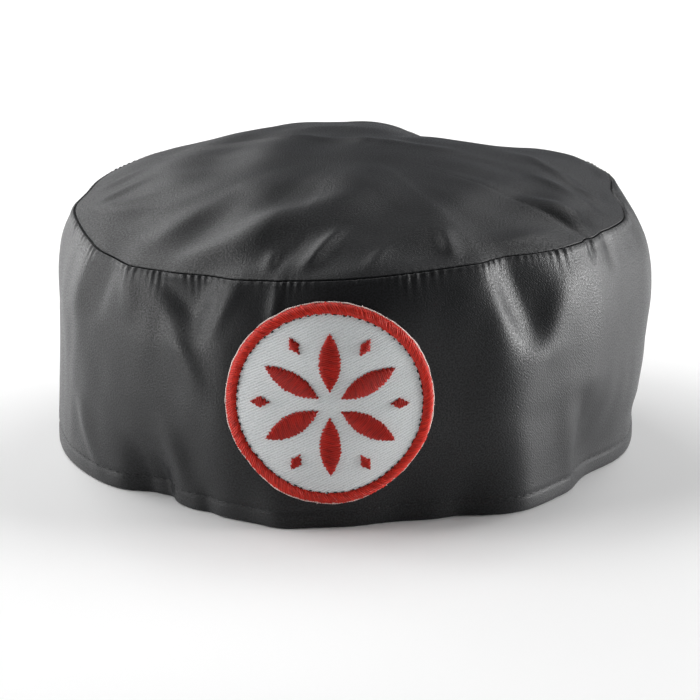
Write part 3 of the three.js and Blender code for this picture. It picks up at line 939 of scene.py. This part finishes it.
def set_inputs(shader, **values):
    """Sets the shader's own values, by a socket's name with _ for a space."""
    for key, value in values.items():
        shader.inputs[key.replace("_", " ")].default_value = value


# The Wave texture's Scale that gives one band each millimetre, along an axis and along the diagonal
WAVE_UNIT = math.pi / 10
DIAGONAL_WAVE_UNIT = 0.444
# The weave's diagonal repeat is drawn every 0.6 mm, four times too coarse, so that it shows
SATIN_REPEAT = 0.6
WEAVE_SHARE = 0.08
# Uneven floats catch the light as specks, drawn every 0.55 mm, four times too coarse
SPECK_SCALE = 1.8
# Roughness of the dullest and the brightest specks
SATIN_FACE_ROUGHNESS = (0.56, 0.36)
SATIN_BACK_ROUGHNESS = (0.72, 0.56)


def satin_material(name, back=False):
    """Satin-woven polyester, piece-dyed black: long warp floats lie side by side and give a soft, broad
    sheen. The back shows the short weft floats, and is duller."""
    material, tree, shader = new_material(name)
    coordinates = node(tree, "ShaderNodeTexCoord")
    uv = coordinates.outputs["UV"]
    grain = node(
        tree, "ShaderNodeTexNoise", {"Vector": uv},
        Scale=SPECK_SCALE, Detail=1.0, Roughness=0.6,
    )
    floats = node(
        tree, "ShaderNodeTexWave", {"Vector": uv}, wave_type="BANDS", bands_direction="DIAGONAL",
        Scale=DIAGONAL_WAVE_UNIT / SATIN_REPEAT, Distortion=1.5, Detail=1.0,
    )
    woven = node(
        tree, "ShaderNodeMath", {0: floats.outputs["Fac"], 2: grain.outputs["Fac"]},
        operation="MULTIPLY_ADD",
    )
    woven.inputs[1].default_value = WEAVE_SHARE
    bump = node(tree, "ShaderNodeBump", {"Height": woven.outputs["Value"]}, Strength=0.6, Distance=0.0002)
    tree.links.new(bump.outputs["Normal"], shader.inputs["Normal"])
    warp = node(tree, "ShaderNodeTangent", direction_type="UV_MAP", uv_map="cloth")
    tree.links.new(warp.outputs["Tangent"], shader.inputs["Tangent"])
    speck = node(
        tree, "ShaderNodeMapRange", {"Value": grain.outputs["Fac"]}, From_Min=0.35, From_Max=0.65,
    )
    tone = node(tree, "ShaderNodeMix", {"Factor": speck.outputs["Result"]}, data_type="RGBA")
    tone.inputs["A"].default_value = srgb("#060607")
    tone.inputs["B"].default_value = srgb("#202123")
    tree.links.new(tone.outputs["Result"], shader.inputs["Base Color"])
    dull, bright = SATIN_BACK_ROUGHNESS if back else SATIN_FACE_ROUGHNESS
    gloss = node(
        tree, "ShaderNodeMapRange", {"Value": speck.outputs["Result"]}, To_Min=dull, To_Max=bright,
    )
    tree.links.new(gloss.outputs["Result"], shader.inputs["Roughness"])
    set_inputs(shader, IOR=1.4, Anisotropic=0.6, Anisotropic_Rotation=0.25)
    set_inputs(shader, Sheen_Weight=0.05, Sheen_Roughness=0.4, Sheen_Tint=srgb("#c8ccd4"))
    return material


def twill_material():
    """Cotton and polyester twill, bleached white: matt, with fine yarns across each rib. Bands of darker
    tone along the twill lines are painted shade.
    """
    material, tree, shader = new_material("bleached_cotton_twill")
    uv = node(tree, "ShaderNodeTexCoord").outputs["UV"]
    yarn_place = node(tree, "ShaderNodeMapping", {"Vector": uv}, Scale=(2.6, 1.28, 1.0))
    yarn = node(tree, "ShaderNodeTexNoise", {"Vector": yarn_place.outputs["Vector"]}, Scale=1.0, Detail=2.0)
    bump = node(tree, "ShaderNodeBump", {"Height": yarn.outputs["Fac"]}, Strength=0.35, Distance=0.0003)
    tree.links.new(bump.outputs["Normal"], shader.inputs["Normal"])
    # Painted shade: a band of darker tone along each twill line, one each pitch, added to the yarns' random
    # tone
    half_turn = node(tree, "ShaderNodeMapping", {"Vector": uv}, Location=(0.0, TWILL_PITCH / 2, 0.0))
    groove = node(
        tree, "ShaderNodeTexWave", {"Vector": half_turn.outputs["Vector"]}, wave_type="BANDS",
        bands_direction="Y", Scale=WAVE_UNIT / TWILL_PITCH, Distortion=0.3, Detail=1.0,
    )
    twill_shade_and_yarn_tone = node(
        tree, "ShaderNodeMath", {0: groove.outputs["Fac"], 2: yarn.outputs["Fac"]},
        operation="MULTIPLY_ADD",
    )
    twill_shade_and_yarn_tone.inputs[1].default_value = 0.5
    tone = node(tree, "ShaderNodeMix", {"Factor": twill_shade_and_yarn_tone.outputs["Value"]}, data_type="RGBA")
    tone.inputs["A"].default_value = srgb("#b4b8b9")
    tone.inputs["B"].default_value = srgb("#eceff0")
    tree.links.new(tone.outputs["Result"], shader.inputs["Base Color"])
    set_inputs(shader, Roughness=0.9, IOR=1.47)
    return material


def thread_material(name, dark, light, roughness, sheen):
    """Spun or filament thread: its tone varies a little from one thread to the next."""
    material, tree, shader = new_material(name)
    uv = node(tree, "ShaderNodeTexCoord").outputs["UV"]
    place = node(tree, "ShaderNodeMapping", {"Vector": uv}, Scale=(0.9, 0.8, 1.0))
    vary = node(tree, "ShaderNodeTexNoise", {"Vector": place.outputs["Vector"]}, Scale=1.0, Detail=2.0)
    tone = node(tree, "ShaderNodeMix", {"Factor": vary.outputs["Fac"]}, data_type="RGBA")
    tone.inputs["A"].default_value = srgb(dark)
    tone.inputs["B"].default_value = srgb(light)
    tree.links.new(tone.outputs["Result"], shader.inputs["Base Color"])
    set_inputs(shader, Roughness=roughness, IOR=1.36, Sheen_Weight=sheen, Sheen_Roughness=0.5)
    return material


def pale_floor_material():
    """Painted board: matt and nearly white."""
    material, tree, shader = new_material("pale_matt_board")
    set_inputs(shader, Base_Color=srgb("#fafafa"), Roughness=0.9)
    return material


# The stage

def add_camera():
    """The camera stands back from its target along the view's azimuth and elevation, and is shifted so
    that the target falls on its pixel."""
    a, e = math.radians(VIEW["azimuth"]), math.radians(VIEW["elevation"])
    back = Vector((math.sin(a) * math.cos(e), -math.cos(a) * math.cos(e), math.sin(e)))
    data = bpy.data.cameras.new("camera")
    data.sensor_width = SENSOR
    data.lens = FOCAL_PIXELS / IMAGE * SENSOR
    data.shift_x = -(TARGET_PIXEL[0] - IMAGE / 2) / IMAGE
    data.shift_y = (TARGET_PIXEL[1] - IMAGE / 2) / IMAGE
    data.clip_start, data.clip_end = 0.05, 20
    camera = bpy.data.objects.new("camera", data)
    camera.location = (Vector(VIEW["target"]) + back * VIEW["distance"]) * MM
    camera.rotation_mode = "QUATERNION"
    camera.rotation_quaternion = (-back).to_track_quat("-Z", "Y")
    bpy.context.scene.collection.objects.link(camera)
    bpy.context.scene.camera = camera


def add_softboxes():
    """Softboxes stand round the cap and face it, each at an azimuth from the front, a distance and a
    height in metres."""
    aim = Vector((0, 0, 0.05))
    for name, azimuth, distance, height, size_x, size_y, watts in SOFTBOXES:
        data = bpy.data.lights.new(name, "AREA")
        data.shape = "RECTANGLE"
        data.size, data.size_y = size_x, size_y
        data.energy = watts
        light = bpy.data.objects.new(name, data)
        a = math.radians(azimuth)
        light.location = (distance * math.sin(a), -distance * math.cos(a), height)
        light.rotation_mode = "QUATERNION"
        light.rotation_quaternion = (aim - light.location).to_track_quat("-Z", "Y")
        bpy.context.scene.collection.objects.link(light)


def add_stage():
    """A square floor, a dim even world and the softboxes."""
    half = 4.0
    corners = [(-half, -half, 0), (half, -half, 0), (half, half, 0), (-half, half, 0)]
    mesh = bpy.data.meshes.new("floor")
    mesh.from_pydata(corners, [], [(0, 1, 2, 3)])
    mesh.materials.append(pale_floor_material())
    floor = bpy.data.objects.new("floor", mesh)
    bpy.context.scene.collection.objects.link(floor)
    world = bpy.data.worlds.new("studio")
    world.use_nodes = True
    world.node_tree.nodes["Background"].inputs["Color"].default_value = (1, 1, 1, 1)
    world.node_tree.nodes["Background"].inputs["Strength"].default_value = WORLD_STRENGTH
    bpy.context.scene.world = world
    add_softboxes()
    bpy.context.scene.view_settings.view_transform = "Standard"


add_camera()
add_stage()
satin = satin_material("satin_woven_polyester")
satin_back = satin_material("satin_reverse", back=True)
red = thread_material("rayon_embroidery_thread", "#4c0804", "#dc2616", 0.5, 0.03)
merrow_red = thread_material("polyester_merrow_thread", "#6c0b05", "#f83420", 0.5, 0.03)
black = thread_material("black_sewing_thread", "#0c0c0e", "#1a1a1d", 0.6, 0.1)
white = thread_material("pale_bobbin_thread", "#c9a9a0", "#f1e4df", 0.7, 0.2)
make_band(satin, satin_back)
make_crown(satin, satin_back)
make_ground(twill_material())
make_border(merrow_red)
motifs = [(PETALS, "petal", petal_half_width), (LOZENGES, "lozenge", lozenge_half_width)]
for motif, stem, half_width in motifs:
    for index in range(motif["count"]):
        label = f"rosette_{stem}_{index + 1}"
        make_motif(f"{label}_stitches", motif, index, half_width, red, label)
make_sewing_stitches(black)
make_edge_thread(white)
make_loose_ends(white)
make_hem_stitches(black)
